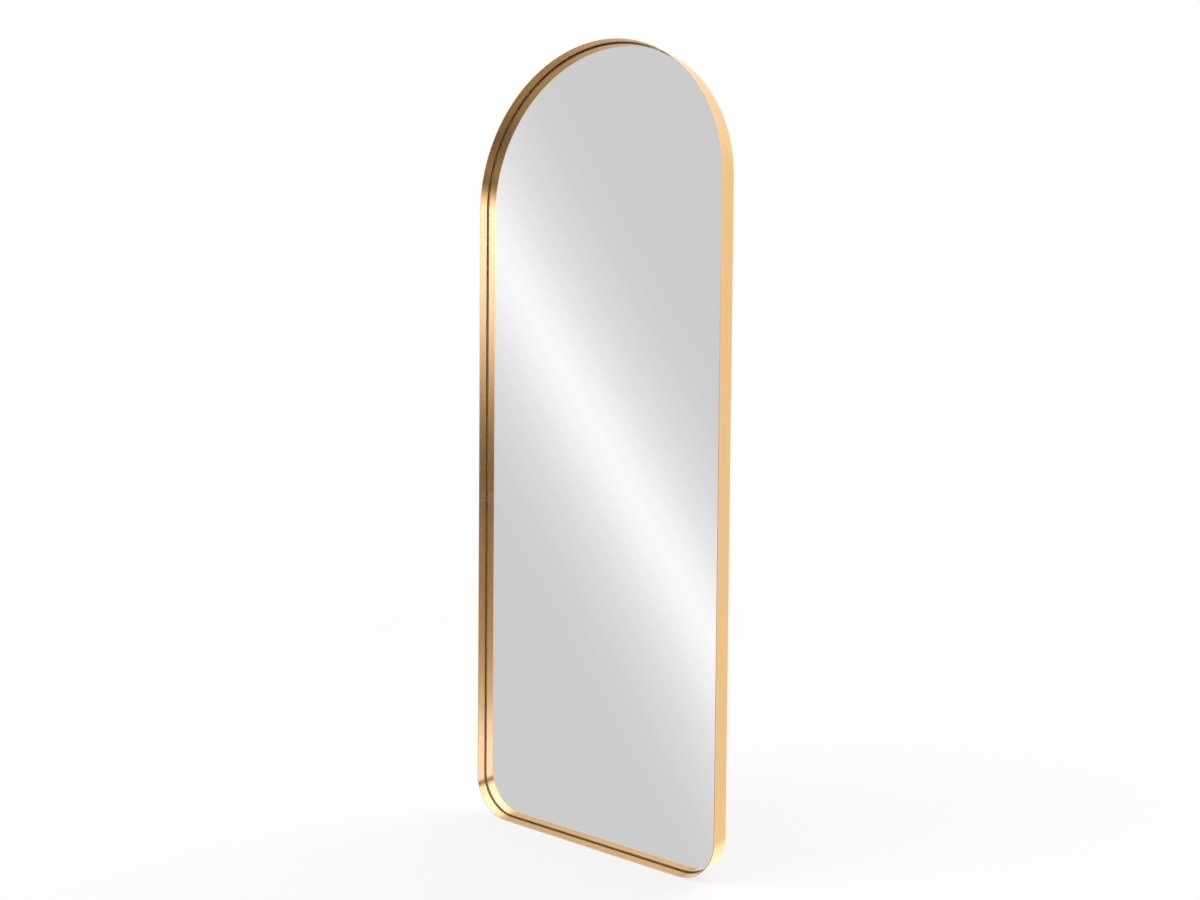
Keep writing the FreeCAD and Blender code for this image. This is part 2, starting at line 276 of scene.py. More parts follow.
# ---- Geometry Nodes ------------------------------------------------------------
class Jig:
    """A Geometry Nodes tree that makes one small part and repeats it at its places."""

    def __init__(self, name, sizes):
        self.tree = bpy.data.node_groups.new(name, "GeometryNodeTree")
        interface = self.tree.interface
        interface.new_socket("Places", in_out="INPUT", socket_type="NodeSocketGeometry")
        for key in sizes:
            interface.new_socket(key, in_out="INPUT", socket_type="NodeSocketFloat")
        interface.new_socket("Finish", in_out="INPUT", socket_type="NodeSocketMaterial")
        interface.new_socket("Parts", in_out="OUTPUT", socket_type="NodeSocketGeometry")
        self.given = self.tree.nodes.new("NodeGroupInput").outputs
        self.result = self.tree.nodes.new("NodeGroupOutput").inputs["Parts"]

    def node(self, kind, inputs, output=0, **settings):
        """Adds a node, fills its inputs with numbers or links, and gives one output."""
        node = self.tree.nodes.new(kind)
        for key, value in settings.items():
            setattr(node, key, value)
        for key, value in inputs.items():
            socket = node.inputs[key]
            for item in value if isinstance(value, list) else [value]:
                if isinstance(item, bpy.types.NodeSocket):
                    self.tree.links.new(item, socket)
                else:
                    socket.default_value = item
        return node.outputs[output]

    def maths(self, operation, *values):
        return maths(self.tree, operation, *values)

    def vector(self, x=0.0, y=0.0, z=0.0):
        return self.node("ShaderNodeCombineXYZ", {"X": x, "Y": y, "Z": z})

    def here(self):
        """The point's own x, y and z."""
        split = self.node("ShaderNodeSeparateXYZ", {"Vector": self.node(
            "GeometryNodeInputPosition", {})})
        return split.node.outputs

    def moved(self, mesh, offset):
        return self.node("GeometryNodeTransform", {"Geometry": mesh, "Translation": offset})

    def reshaped(self, mesh, position):
        return self.node("GeometryNodeSetPosition", {"Geometry": mesh, "Position": position})

    def joined(self, *meshes):
        return self.node("GeometryNodeJoinGeometry", {"Geometry": list(meshes)})

    def lathe(self, radius, top_radius, height, rounding):
        """A round part that stands on its foot along Z, with its top edge rounded."""
        drum = self.node("GeometryNodeMeshCylinder", {
            "Vertices": LATHE_SIDES, "Side Segments": 2, "Fill Segments": LATHE_RINGS,
            "Radius": 1.0, "Depth": 1.0})
        x, y, z = self.here()
        up = self.maths("ADD", z, 0.5)
        reach = self.node("ShaderNodeVectorMath", {0: self.vector(x, y)}, "Value",
                          operation="LENGTH")
        spread = self.maths("SUBTRACT", 2.0, reach)
        away = self.maths("MULTIPLY", spread, reach)
        past = self.maths("MULTIPLY", away, top_radius)
        past = self.maths("SUBTRACT", past, self.maths("SUBTRACT", top_radius, rounding))
        past = self.maths("MINIMUM", self.maths("MAXIMUM", past, 0.0), rounding)
        drop = self.maths("SQRT", self.maths("MAXIMUM", 0.0, self.maths(
            "SUBTRACT", self.maths("MULTIPLY", rounding, rounding),
            self.maths("MULTIPLY", past, past))))
        drop = self.maths("SUBTRACT", rounding, drop)
        wide = self.maths("MULTIPLY_ADD", up, self.maths("SUBTRACT", top_radius, radius), radius)
        wide = self.maths("MULTIPLY", wide, spread)
        tall = self.maths("MULTIPLY", up, self.maths("SUBTRACT", height, drop))
        return self.reshaped(drum, self.vector(self.maths("MULTIPLY", x, wide),
                                               self.maths("MULTIPLY", y, wide), tall))

    def facing_back(self, mesh):
        """Turns a part that stands along Z so that it points backwards, along Y."""
        return self.node("GeometryNodeTransform", {
            "Geometry": mesh, "Rotation": (math.radians(-90), 0.0, 0.0)})

    def repeat(self, part, turn):
        """Copies the part to every place, turned about the depth axis, as real meshes."""
        copies = self.node("GeometryNodeInstanceOnPoints", {
            "Points": self.given["Places"], "Instance": part,
            "Rotation": self.vector(y=turn)})
        real = self.node("GeometryNodeRealizeInstances", {"Geometry": copies})
        smooth_all = self.node("GeometryNodeSetShadeSmooth", {"Geometry": real}, domain="FACE")
        angle = self.node("GeometryNodeInputMeshEdgeAngle", {}, "Unsigned Angle")
        crease = self.maths("GREATER_THAN", angle, CREASE)
        creased = self.node("GeometryNodeSetShadeSmooth", {
            "Geometry": smooth_all, "Selection": crease, "Shade Smooth": False}, domain="EDGE")
        painted = self.node("GeometryNodeSetMaterial", {
            "Geometry": creased, "Material": self.given["Finish"]})
        self.tree.links.new(painted, self.result)


def made_with(jig, name, places, sizes, material):
    """Runs a jig at (x, y, z, turn) places and keeps the result as one plain mesh."""
    points = bpy.data.meshes.new(name + "_places")
    points.from_pydata([place[:3] for place in places], [], [])
    turns = points.attributes.new("turn", "FLOAT", "POINT")
    for item, place in zip(turns.data, places):
        item.value = place[3]
    piece = new_piece(name, points)
    modifier = piece.modifiers.new("jig", "NODES")
    modifier.node_group = jig.tree
    given = dict(sizes, Finish=material)
    for socket in jig.tree.interface.items_tree:
        if socket.in_out == "INPUT" and socket.name in given:
            modifier[socket.identifier] = given[socket.name]
    graph = bpy.context.evaluated_depsgraph_get()
    mesh = bpy.data.meshes.new_from_object(piece.evaluated_get(graph))
    piece.modifiers.remove(modifier)
    piece.data = mesh
    return piece


def own_turn(jig):
    """The angle that each place carries."""
    return jig.node("GeometryNodeInputNamedAttribute", {"Name": "turn"}, "Attribute",
                    data_type="FLOAT")


def screw_jig():
    """A pan-head screw with a tapered cross recess, each turned to a chance angle."""
    jig = Jig("pan_head_screw", {**SCREW_SIZES, "Shank Length": 0.0})
    given = jig.given
    head = jig.lathe(given["Head Radius"], given["Head Radius"], given["Head Height"],
                     given["Head Round"])
    low = jig.maths("SUBTRACT", given["Head Height"], given["Cross Depth"])
    wings = []
    for turn in (0.0, math.radians(90)):
        block = jig.node("GeometryNodeMeshCube", {"Size": jig.vector(
            given["Cross Span"], given["Cross Width"], jig.maths(
                "MULTIPLY", given["Cross Depth"], 2.0))})
        x, y, z = jig.here()
        taper = jig.maths("MULTIPLY_ADD", jig.maths("DIVIDE", z, given["Cross Depth"]),
                          CROSS_TAPER, 1.0 - CROSS_TAPER)
        block = jig.reshaped(block, jig.vector(jig.maths("MULTIPLY", x, taper), y, z))
        wings.append(jig.node("GeometryNodeTransform", {
            "Geometry": block, "Rotation": (0.0, 0.0, turn),
            "Translation": jig.vector(z=jig.maths("ADD", low, given["Cross Depth"]))}))
    head = jig.node("GeometryNodeMeshBoolean", {"Mesh 1": head, "Mesh 2": wings},
                    operation="DIFFERENCE", solver="EXACT")
    shank = jig.node("GeometryNodeMeshCylinder", {
        "Vertices": SHANK_SIDES, "Radius": given["Shank Radius"],
        "Depth": given["Shank Length"]})
    shank = jig.moved(shank, jig.vector(z=jig.maths("MULTIPLY", given["Shank Length"], -0.5)))
    point = jig.node("GeometryNodeMeshCone", {
        "Vertices": SHANK_SIDES, "Radius Top": 0.0, "Radius Bottom": given["Shank Radius"],
        "Depth": given["Point Length"]})
    point = jig.node("GeometryNodeTransform", {
        "Geometry": point, "Rotation": (math.radians(180), 0.0, 0.0),
        "Translation": jig.vector(z=jig.maths("MULTIPLY", given["Shank Length"], -1.0))})
    chance = jig.node("FunctionNodeRandomValue", {2: 0.0, 3: math.pi, "Seed": SCREW_TURN_SEED},
                      1, data_type="FLOAT")
    jig.repeat(jig.facing_back(jig.joined(head, shank, point)), chance)
    return jig


def tab_jig():
    """A strip of sheet with rounded corners, bent into an angle."""
    jig = Jig("angle_tab", TAB_SIZES)
    given = jig.given
    sheet, bend, board_leg = given["Sheet"], given["Bend Radius"], given["Board Leg"]
    corner = jig.maths("ADD", bend, sheet)
    middle = jig.maths("MULTIPLY_ADD", sheet, 0.5, bend)
    straight = jig.maths("SUBTRACT", board_leg, corner)
    arc = jig.maths("MULTIPLY", middle, math.pi / 2)
    upright = jig.maths("SUBTRACT", given["Band Leg"], corner)
    run = jig.maths("ADD", jig.maths("ADD", straight, arc), upright)
    half_run = jig.maths("MULTIPLY", run, 0.5)
    half_sheet = jig.maths("MULTIPLY", sheet, 0.5)
    strip = jig.node("GeometryNodeMeshGrid", {
        "Size X": run, "Size Y": given["Length"], "Vertices X": TAB_STEPS,
        "Vertices Y": TAB_ROWS})
    x, y, z = jig.here()
    rounding = given["Corner Radius"]
    to_end = jig.maths("SUBTRACT", half_run, jig.maths("ABSOLUTE", x))
    near = jig.maths("MAXIMUM", jig.maths("SUBTRACT", rounding, to_end), 0.0)
    inset = jig.maths("SUBTRACT", rounding, jig.maths("SQRT", jig.maths(
        "SUBTRACT", jig.maths("MULTIPLY", rounding, rounding), jig.maths("MULTIPLY", near, near))))
    narrow = jig.maths("SUBTRACT", 1.0, jig.maths(
        "DIVIDE", inset, jig.maths("MULTIPLY", given["Length"], 0.5)))
    strip = jig.reshaped(strip, jig.vector(x, jig.maths("MULTIPLY", y, narrow),
                                           jig.maths("MULTIPLY", half_sheet, -1.0)))
    top = jig.node("GeometryNodeExtrudeMesh", {
        "Mesh": strip, "Offset": (0.0, 0.0, 1.0), "Offset Scale": sheet, "Individual": False})
    under = jig.node("GeometryNodeFlipFaces", {"Mesh": strip})
    plate = jig.node("GeometryNodeMergeByDistance", {
        "Geometry": jig.joined(top, under), "Distance": MERGE_DISTANCE})
    x, y, z = jig.here()
    along = jig.maths("ADD", x, half_run)
    angle = jig.maths("DIVIDE", jig.maths("SUBTRACT", along, straight), middle)
    angle = jig.maths("MINIMUM", jig.maths("MAXIMUM", angle, 0.0), math.pi / 2)
    left_over = jig.maths("MAXIMUM", jig.maths("SUBTRACT", straight, along), 0.0)
    past = jig.maths("MAXIMUM", jig.maths("SUBTRACT", jig.maths(
        "SUBTRACT", along, straight), arc), 0.0)
    reach = jig.maths("SUBTRACT", middle, z)
    inward = jig.maths("ADD", jig.maths("SUBTRACT", corner, jig.maths(
        "MULTIPLY", reach, jig.maths("SINE", angle))), left_over)
    back = jig.maths("ADD", jig.maths("SUBTRACT", corner, jig.maths(
        "MULTIPLY", reach, jig.maths("COSINE", angle))), past)
    jig.repeat(jig.reshaped(plate, jig.vector(inward, back, y)), own_turn(jig))
    return jig


def bumper_jig():
    """A small rubber cone with a rounded top."""
    jig = Jig("wall_bumper", {**BUMPER_SIZES, "Height": 0.0})
    given = jig.given
    cone = jig.lathe(given["Radius"], given["Top Radius"], given["Height"], given["Rounding"])
    jig.repeat(jig.facing_back(cone), 0.0)
    return jig


def weld_jig():
    """A rippled weld bead where a tab's end meets the band."""
    jig = Jig("weld_bead", WELD_SIZES)
    given = jig.given
    drum = jig.node("GeometryNodeMeshCylinder", {
        "Vertices": BEAD_SIDES, "Side Segments": BEAD_STEPS, "Radius": 1.0, "Depth": 1.0})
    x, y, z = jig.here()
    along = jig.maths("MULTIPLY", z, given["Span"])
    ripple = jig.maths("ABSOLUTE", jig.maths("SINE", jig.maths(
        "MULTIPLY", jig.maths("DIVIDE", along, given["Bead Pitch"]), math.pi)))
    to_end = jig.maths("POWER", jig.maths("ABSOLUTE", jig.maths("MULTIPLY", z, WELD_TAPER)),
                       WELD_TAPER_POWER)
    taper = jig.maths("SQRT", jig.maths("SUBTRACT", 1.0, to_end))
    swell = jig.maths("MULTIPLY_ADD", ripple, WELD_RIPPLE, 1.0 - WELD_RIPPLE)
    reach = jig.maths("MULTIPLY", swell, jig.maths("MULTIPLY", given["Bead Radius"], taper))
    bead = jig.reshaped(drum, jig.vector(jig.maths("MULTIPLY", x, reach),
                                         jig.maths("MULTIPLY", y, reach), along))
    jig.repeat(jig.moved(bead, jig.vector(y=given["Band Leg"])), own_turn(jig))
    return jig


# ---- Small hardware ------------------------------------------------------------
def islands(node):
    """The box of each separate solid in a CAD node."""
    solid = bmesh.new()
    solid.from_mesh(NODES[node].data)
    bmesh.ops.remove_doubles(solid, verts=solid.verts, dist=MERGE_DISTANCE)
    boxes, seen = [], set()
    for first in solid.verts:
        if first in seen:
            continue
        group, queue = [], [first]
        seen.add(first)
        while queue:
            vert = queue.pop()
            group.append(vert.co.copy())
            for edge in vert.link_edges:
                other = edge.other_vert(vert)
                if other not in seen:
                    seen.add(other)
                    queue.append(other)
        boxes.append([Vector(extreme(co[i] for co in group) for i in range(3))
                      for extreme in (min, max)])
    solid.free()
    return boxes


def outward_at(x, z):
    """The way out of the rim from a place close to it."""
    if z > ARCH_CENTRE:
        return Vector((x, z - ARCH_CENTRE)).normalized()
    if z < BASE + 2 * TAB_HOLE_INSET:
        return Vector((0.0, -1.0))
    return Vector((math.copysign(1.0, x), 0.0))


def make_screws(node, slot, material):
    """Detailed screws in place of a CAD node's, and where their heads sit."""
    places, length = [], 0.0
    for low, high in islands(node):
        seat = high.y - SCREW_SIZES["Head Height"]
        length = seat - low.y - SCREW_SIZES["Point Length"]
        places.append(((low.x + high.x) / 2, seat, (low.z + high.z) / 2, 0.0))
    piece = made_with(screw_jig(), node + "_detailed", sorted(places),
                      {**SCREW_SIZES, "Shank Length": length}, material)
    belongs(piece, "mirror", slot, node)
    return sorted(places)


def make_tabs(screw_places, material):
    """Bent tabs under the screws, and one longer bracket across the band's joint."""
    places = []
    for x, _, z, _ in screw_places:
        if x < 0.0 and abs(z - JOINT_HEIGHT) < JOINT_SCREW_REACH:
            continue
        out = outward_at(x, z)
        turn = math.atan2(out.y, -out.x)
        places.append((x + TAB_HOLE_INSET * out.x, BOARD_BACK, z + TAB_HOLE_INSET * out.y, turn))
    tabs = made_with(tab_jig(), "bent_tabs", places, TAB_SIZES, material)
    belongs(tabs, "mirror", "plated_steel", "fixing_tabs")
    at_joint = [(BAND_WALL - HALF_WIDTH, BOARD_BACK, JOINT_HEIGHT, 0.0)]
    bracket = made_with(tab_jig(), "bent_joint_bracket", at_joint,
                        {**TAB_SIZES, "Length": JOINT_BRACKET_LENGTH}, material)
    belongs(bracket, "mirror", "plated_steel", "joint_bracket")
    x, y, z, turn = at_joint[0]
    places += [(x, y, z + side * BRACKET_WELD_OFFSET, turn) for side in (-1, 1)]
    beads = made_with(weld_jig(), "weld_beads", places, WELD_SIZES, material)
    belongs(beads, "mirror", "plated_steel")


def make_bumpers(material):
    """Turned bumpers in place of the CAD node's."""
    boxes = islands("wall_bumpers")
    places = [((low.x + high.x) / 2, low.y, (low.z + high.z) / 2, 0.0) for low, high in boxes]
    height = boxes[0][1].y - boxes[0][0].y
    piece = made_with(bumper_jig(), "turned_bumpers", sorted(places),
                      {**BUMPER_SIZES, "Height": height}, material)
    belongs(piece, "mirror", "black_rubber", "wall_bumpers")


def swept_ring(name, y, rows, radius, material):
    """A round wire at one depth, along closed rows of (x, z, outward x, outward z)."""
    sides = WIRE_SIDES
    verts = []
    for x, z, nx, nz in rows:
        for n in range(sides):
            angle = 2 * math.pi * n / sides
            out, deep = radius * math.cos(angle), radius * math.sin(angle)
            verts.append((x + nx * out, y + deep, z + nz * out))
    faces = []
    for i in range(len(rows)):
        j = (i + 1) % len(rows)
        for n in range(sides):
            m = (n + 1) % sides
            faces.append((i * sides + n, j * sides + n, j * sides + m, i * sides + m))
    mesh = bpy.data.meshes.new(name)
    mesh.from_pydata(verts, [], faces)
    smooth(mesh)
    mesh.materials.append(material)
    return new_piece(name, mesh)


def make_tether_ring(side, material):
    """A D of round wire that hangs from its straight bar."""
    node = "tether_ring_" + side
    low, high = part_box(node)
    x, y = (low.x + high.x) / 2, (low.y + high.y) / 2
    bar = high.z - RING_WIRE
    half = RING_INSIDE_WIDTH / 2 + RING_WIRE
    foot = bar - RING_INSIDE_DROP - 2 * RING_WIRE + half
    rows = []

    def arc(cx, cz, reach, start, end, steps):
        for n in range(steps + 1):
            angle = math.radians(start + (end - start) * n / steps)
            nx, nz = math.cos(angle), math.sin(angle)
            rows.append((cx + reach * nx, cz + reach * nz, nx, nz))

    arc(x + half - RING_BEND, bar - RING_BEND, RING_BEND, 90.0, 0.0, RING_BEND_STEPS)
    arc(x, foot, half, 0.0, -180.0, RING_ARCH_STEPS)
    arc(x - half + RING_BEND, bar - RING_BEND, RING_BEND, 180.0, 90.0, RING_BEND_STEPS)
    ring = swept_ring("tether_d_ring_" + side, y, rows, RING_WIRE, material)
    return belongs(ring, side + "_ring", "ring_steel", node)


def make_strap(side, material):
    """A strip folded in two round the ring's bar, with both ends rounded."""
    node = "tether_strap_" + side
    low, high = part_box(node)
    ring_low, ring_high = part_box("tether_ring_" + side)
    y, z = (ring_low.y + ring_high.y) / 2, ring_high.z - RING_WIRE
    half = (high.x - low.x) / 2
    middle = (low.x + high.x) / 2
    sheet = STRAP_SHEET
    reach = y - BOARD_BACK - sheet / 2
    top = high.z
    path = [(BOARD_BACK + sheet / 2, top - half + half * math.sin(math.radians(a)))
            for a in range(90, -1, -STRAP_STEP)]
    path += [(y - reach * math.cos(math.radians(a)), z - reach * math.sin(math.radians(a)))
             for a in range(0, STRAP_FOLD + 1, STRAP_STEP)]
    path.append((BOARD_BACK + 1.5 * sheet, z + STRAP_RAMP + reach))
    path += [(BOARD_BACK + 1.5 * sheet, top - half + half * math.sin(math.radians(a)))
             for a in range(0, 91, STRAP_STEP)]
    verts, faces = [], []
    for n, (py, pz) in enumerate(path):
        before, after = path[max(n - 1, 0)], path[min(n + 1, len(path) - 1)]
        along = Vector((after[0] - before[0], after[1] - before[1])).normalized()
        ny, nz = along.y * sheet / 2, -along.x * sheet / 2
        past = max(0.0, pz - (top - half))
        wide = math.sqrt(max(half * half - past * past, (STRAP_TIP * half) ** 2))
        for sign, flip in ((-1, -1), (1, -1), (1, 1), (-1, 1)):
            verts.append((middle + sign * wide, py + flip * ny, pz + flip * nz))
    for n in range(len(path) - 1):
        for j in range(4):
            k = (j + 1) % 4
            faces.append((4 * n + j, 4 * n + k, 4 * n + 4 + k, 4 * n + 4 + j))
    last = 4 * len(path) - 4
    faces += [(3, 2, 1, 0), (last, last + 1, last + 2, last + 3)]
    mesh = bpy.data.meshes.new("folded_strap_" + side)
    mesh.from_pydata(verts, [], faces)
    smooth(mesh)
    shape = bmesh.new()
    shape.from_mesh(mesh)
    bmesh.ops.recalc_face_normals(shape, faces=shape.faces)
    for edge in shape.edges:
        edge.smooth = edge.calc_face_angle(0.0) < STRAP_CREASE
    shape.to_mesh(mesh)
    shape.free()
    mesh.materials.append(material)
    return belongs(new_piece("folded_strap_" + side, mesh), "mirror", "plated_steel", node)


# ---- Materials -----------------------------------------------------------------
GOLD, DARK_GOLD, PALE_GOLD = (0.86, 0.532, 0.235), (0.79, 0.475, 0.2), (0.925, 0.585, 0.268)
DRESSED_GOLD = (0.97, 0.66, 0.33)
# noise cells a metre along the band, across it and through it
FINE_LINES, BROAD_LINES, CROSS_LINES = (7.0, 3400.0, 1.0), (0.8, 480.0, 1.0), (650.0, 70.0, 1.0)
BRUSHING_DEPTH = 0.004 * MM
# the ground edge's own grey-green, tinted brown-gold by a painted reflection of the gold band
# beside it; dark and pale are grinding tones
EDGE_GREEN_AND_GOLD_REFLECTION = (0.37, 0.34, 0.22)
DARK_EDGE_GREEN_AND_GOLD_REFLECTION, PALE_EDGE_GREEN_AND_GOLD_REFLECTION = (0.29, 0.27, 0.16), (0.45, 0.42, 0.27)
BOARD_BROWN, DARK_FELT, PALE_FELT = (0.42, 0.3, 0.19), (0.3, 0.2, 0.118), (0.53, 0.395, 0.265)
FLECK_BROWN = (0.15, 0.085, 0.045)
# noise cells a metre in x, y and z
FELT, FIBRE = (260.0, 260.0, 90.0), (1500.0, 1500.0, 420.0)
BOARD_CLOUD, FLECKS = (5.0, 5.0, 3.0), (1100.0, 1100.0, 700.0)
BOARD_RELIEF = 0.06 * MM
GRINDING = 900.0
PLATING_CLOUD = 160.0
PLATING_RELIEF, PLASTIC_RELIEF = 0.01 * MM, 0.03 * MM


class Finish:
    """A Principled material and short ways to add its nodes."""

    def __init__(self, name, colour, roughness, **sockets):
        self.material = bpy.data.materials.new(name)
        self.material.use_nodes = True
        self.tree = self.material.node_tree
        self.shader = self.tree.nodes["Principled BSDF"]
        self.set("Base Color", (*colour, 1.0))
        self.set("Roughness", roughness)
        for key, value in sockets.items():
            self.set(key.replace("_", " "), value)

    def set(self, socket, value):
        self.shader.inputs[socket].default_value = value

    def node(self, kind, **values):
        node = self.tree.nodes.new(kind)
        for key, value in values.items():
            if hasattr(node, key):
                setattr(node, key, value)
            else:
                node.inputs[key.replace("_", " ")].default_value = value
        return node

    def link(self, source, target):
        self.tree.links.new(source, target)

    def drive(self, socket, source):
        self.link(source, self.shader.inputs[socket])

    def stretched_noise(self, coordinates, scale, detail=3.0, roughness=0.55):
        """Noise on stretched coordinates, as a value from 0 to 1."""
        mapping = self.node("ShaderNodeMapping")
        mapping.inputs["Scale"].default_value = scale
        self.link(coordinates, mapping.inputs["Vector"])
        noise = self.node("ShaderNodeTexNoise", Scale=1.0, Detail=detail, Roughness=roughness)
        self.link(mapping.outputs["Vector"], noise.inputs["Vector"])
        return noise.outputs["Fac"]

    def between(self, value, low, high, start=0.0, end=1.0):
        """A value from start to end, spread between two numbers."""
        node = self.node("ShaderNodeMapRange")
        for key, number in (("From Min", start), ("From Max", end),
                            ("To Min", low), ("To Max", high)):
            node.inputs[key].default_value = number
        self.link(value, node.inputs["Value"])
        return node.outputs["Result"]

    def blend(self, value, dark, light):
        node = self.node("ShaderNodeMix", data_type="RGBA")
        node.inputs["A"].default_value = (*dark, 1.0)
        node.inputs["B"].default_value = (*light, 1.0)
        self.link(value, node.inputs["Factor"])
        return node.outputs["Result"]

    def bump(self, height, distance):
        node = self.node("ShaderNodeBump", Distance=distance, Strength=1.0)
        self.link(height, node.inputs["Height"])
        self.drive("Normal", node.outputs["Normal"])

    def place(self):
        return self.node("ShaderNodeTexCoord").outputs["Object"]


def brushed_gold(band_length):
    """Gold-coated steel, brushed along the band, and dressed across it at the joint."""
    finish = Finish("brushed_gold", GOLD, 0.23, Metallic=1.0, Anisotropic=0.75)
    along = finish.node("ShaderNodeUVMap", uv_map="along_band").outputs["UV"]
    fine = finish.stretched_noise(along, FINE_LINES)
    broad = finish.stretched_noise(along, BROAD_LINES, 2.0)
    lines = maths(finish.tree, "MULTIPLY_ADD", fine, 0.8, broad)
    brushed = finish.blend(finish.between(lines, 0.0, 1.0, 0.6, 1.2), DARK_GOLD, PALE_GOLD)
    run = finish.node("ShaderNodeSeparateXYZ")
    finish.link(along, run.inputs["Vector"])
    from_joint = maths(finish.tree, "PINGPONG", run.outputs["X"], band_length / 2)
    dressed = finish.between(from_joint, 1.0, 0.0, 0.4 * DRESSED_REACH, DRESSED_REACH)
    across = finish.stretched_noise(along, CROSS_LINES, 2.0)
    marks = maths(finish.tree, "MULTIPLY", dressed, finish.between(across, 0.0, 0.7, 0.42, 0.62))
    colour = finish.blend(marks, DARK_GOLD, DRESSED_GOLD)
    finish.link(brushed, colour.node.inputs["A"])
    finish.drive("Base Color", colour)
    finish.drive("Roughness", maths(finish.tree, "MULTIPLY_ADD", marks, 0.12, finish.between(
        lines, 0.17, 0.3, 0.6, 1.2)))
    finish.bump(lines, BRUSHING_DEPTH)
    tangent = finish.node("ShaderNodeTangent", direction_type="UV_MAP", uv_map="along_band")
    finish.drive("Tangent", tangent.outputs["Tangent"])
    finish.set("Anisotropic Rotation", 0.25)
    return finish.material


def clear_glass():
    return Finish("clear_glass", (0.985, 0.985, 0.985), 0.0, IOR=1.52,
                  Transmission_Weight=1.0).material


def ground_glass_edge():
    # painted reflection: the edge's grey-green is tinted towards the gold band it faces
    finish = Finish("ground_glass_edge", EDGE_GREEN_AND_GOLD_REFLECTION, 0.3)
    cloud = finish.stretched_noise(finish.place(), (GRINDING,) * 3)
    finish.drive("Base Color", finish.blend(cloud, DARK_EDGE_GREEN_AND_GOLD_REFLECTION, PALE_EDGE_GREEN_AND_GOLD_REFLECTION))
    return finish.material


def silver_coat():
    return Finish("silver_coat", (0.94, 0.94, 0.94), 0.0, Metallic=1.0).material


def fibreboard():
    """Raw fibreboard: felted fibres, a few dark flecks and a soft sheen."""
    finish = Finish("fibreboard", BOARD_BROWN, 0.75)
    place = finish.place()
    felt = finish.stretched_noise(place, FELT, 6.0, 0.65)
    fibre = finish.stretched_noise(place, FIBRE, 5.0, 0.7)
    cloud = finish.stretched_noise(place, BOARD_CLOUD)
    tree = finish.tree
    value = maths(tree, "ADD", maths(tree, "MULTIPLY_ADD", felt, 0.7, cloud), fibre)
    felted = finish.blend(finish.between(value, 0.0, 1.0, 0.95, 1.75), DARK_FELT, PALE_FELT)
    fleck = finish.stretched_noise(place, FLECKS, 1.0)
    flecked = finish.blend(finish.between(fleck, 0.0, 0.5, 0.68, 0.76), DARK_FELT, FLECK_BROWN)
    finish.link(felted, flecked.node.inputs["A"])
    finish.drive("Base Color", flecked)
    finish.drive("Roughness", finish.between(felt, 0.62, 0.85, 0.3, 0.7))
    finish.bump(maths(tree, "ADD", felt, fibre), BOARD_RELIEF)
    return finish.material


def plated_steel(name, colour, roughness):
    """Zinc or nickel plate with faint clouding."""
    finish = Finish(name, colour, roughness, Metallic=1.0)
    cloud = finish.stretched_noise(finish.place(), (PLATING_CLOUD,) * 3, 4.0)
    low = tuple(0.82 * c for c in colour)
    high = tuple(min(1.0, 1.12 * c) for c in colour)
    finish.drive("Base Color", finish.blend(finish.between(cloud, 0.0, 1.0, 0.3, 0.7), low, high))
    finish.drive("Roughness", finish.between(cloud, roughness * 0.75, roughness * 1.3, 0.3, 0.7))
    finish.bump(cloud, PLATING_RELIEF)
    return finish.material


def soft_plastic(name, colour, roughness, grain):
    """Rubber, foam or film with a fine grain of so many noise cells a metre."""
    finish = Finish(name, colour, roughness)
    speck = finish.stretched_noise(finish.place(), (grain,) * 3)
    low = tuple(0.85 * c for c in colour)
    finish.drive("Base Color", finish.blend(speck, low, colour))
    finish.drive("Roughness", finish.between(speck, roughness * 0.85, min(1.0, roughness * 1.15)))
    finish.bump(speck, PLASTIC_RELIEF)
    return finish.material


def paint(node, material):
    """Gives a CAD node's own mesh a better material."""
    slots = NODES[node].data.materials
    slots.clear()
    slots.append(material)


# ---- Studio --------------------------------------------------------------------
# the tints of the studio's lights
PLAIN, WARM, COOL = (1.0, 1.0, 1.0), (1.1, 0.965, 0.77), (0.97, 1.0, 1.24)
STRAW = (0.965, 1.035, 0.94)
DOME_RADIUS = 24.0
STUDIO_GREY = 0.655
# the slanted bands of soft light: angles in degrees, then brightness by distance
BAND_PEAK = 0.369
BAND_SLOPE = -1.727
BAND_AZIMUTH, BAND_ELEVATION = -36.3, 0.4
BAND_REPEAT = 36.3
BAND_REACH = 10.0
BAND_FALL = [(0.0, BAND_PEAK), (0.97, 0.335), (1.95, 0.27), (3.0, 0.195), (4.1, 0.135),
             (5.1, 0.09), (6.15, 0.058), (7.1, 0.03), (8.2, 0.01), (9.5, 0.0)]
BAND_SPAN = [(0.0, 1.0), (20.0, 1.0), (30.0, 0.0), (90.0, 0.0)]
# (degrees above the floor, brightness, tint) of each side of the room
LEFT_SIDE = [(-90.0, 0.12, WARM), (-42.0, 0.1, WARM), (-36.0, 0.14, WARM), (-30.5, 0.47),
             (-22.0, 0.63), (-18.0, STUDIO_GREY), (23.2, STUDIO_GREY), (25.5, 0.9, STRAW),
             (29.0, 0.96, STRAW), (34.0, 0.78, STRAW), (40.0, 1.5), (44.5, 2.5, COOL),
             (90.0, 2.5, COOL)]
RIGHT_SIDE = [(-90.0, 0.1, WARM), (-28.0, 0.12, WARM), (-14.0, 0.25, WARM), (-9.0, 0.35, WARM),
              (-6.0, 0.36, WARM), (-3.0, 0.22, WARM), (0.0, 0.16, WARM), (3.0, 0.45, WARM),
              (6.0, 1.0), (9.0, 1.6, COOL), (13.0, 2.15, COOL), (22.0, 1.9, COOL),
              (35.0, 2.4, COOL), (90.0, 2.4, COOL)]
